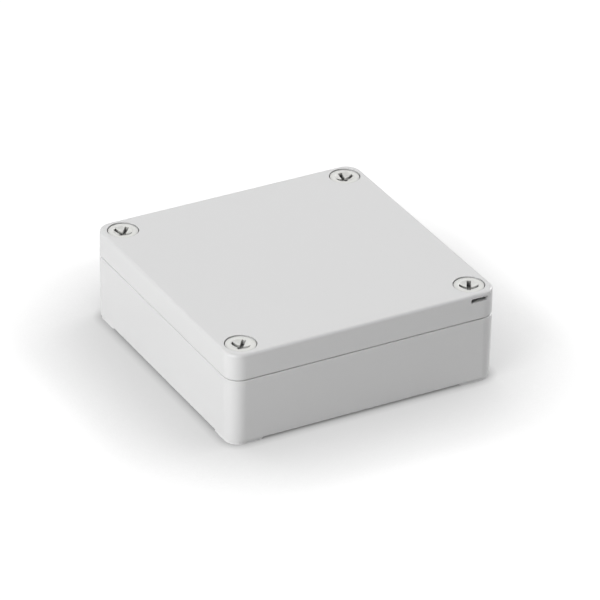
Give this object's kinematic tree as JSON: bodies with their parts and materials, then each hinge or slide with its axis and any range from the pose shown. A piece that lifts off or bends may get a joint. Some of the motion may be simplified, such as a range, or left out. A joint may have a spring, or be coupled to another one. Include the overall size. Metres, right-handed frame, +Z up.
{
  "type": "plastic project box",
  "caption": "Square light grey plastic enclosure for a circuit board, with low feet and a lid that captive corner screws press on a gasket.",
  "frame": {"origin": "centre of the box's footprint, on the surface that it stands on", "axes": "+Z up, through the lid; the slotted side looks along -Y, and the slot is near its +X end"},
  "size_m": [0.1, 0.1, 0.034],
  "materials": {
    "housing": "fine moulded texture",
    "seal": "matt",
    "screws": "satin"
  },
  "bodies": {
    "base": {"base": "housing"},
    "lid": {"lid": "housing", "gasket": "seal"},
    "screw_front_left": {"lid_screw_front_left": "screws"},
    "screw_front_right": {"lid_screw_front_right": "screws"},
    "screw_back_left": {"lid_screw_back_left": "screws"},
    "screw_back_right": {"lid_screw_back_right": "screws"}
  },
  "joints": [
    {"name": "lid_lift", "type": "slide", "parent": "base", "child": "lid", "axis": [0, 0, 1], "range_m": [0, 0.06]},
    {"name": "screw_front_left_turn", "type": "hinge", "parent": "lid", "child": "screw_front_left", "pos_m": [-0.0427, -0.0427, 0.0337], "axis": [0, 0, 1], "continuous": true},
    {"name": "screw_front_right_turn", "type": "hinge", "parent": "lid", "child": "screw_front_right", "pos_m": [0.0427, -0.0427, 0.0337], "axis": [0, 0, 1], "continuous": true},
    {"name": "screw_back_left_turn", "type": "hinge", "parent": "lid", "child": "screw_back_left", "pos_m": [-0.0427, 0.0427, 0.0337], "axis": [0, 0, 1], "continuous": true},
    {"name": "screw_back_right_turn", "type": "hinge", "parent": "lid", "child": "screw_back_right", "pos_m": [0.0427, 0.0427, 0.0337], "axis": [0, 0, 1], "continuous": true}
  ]
}
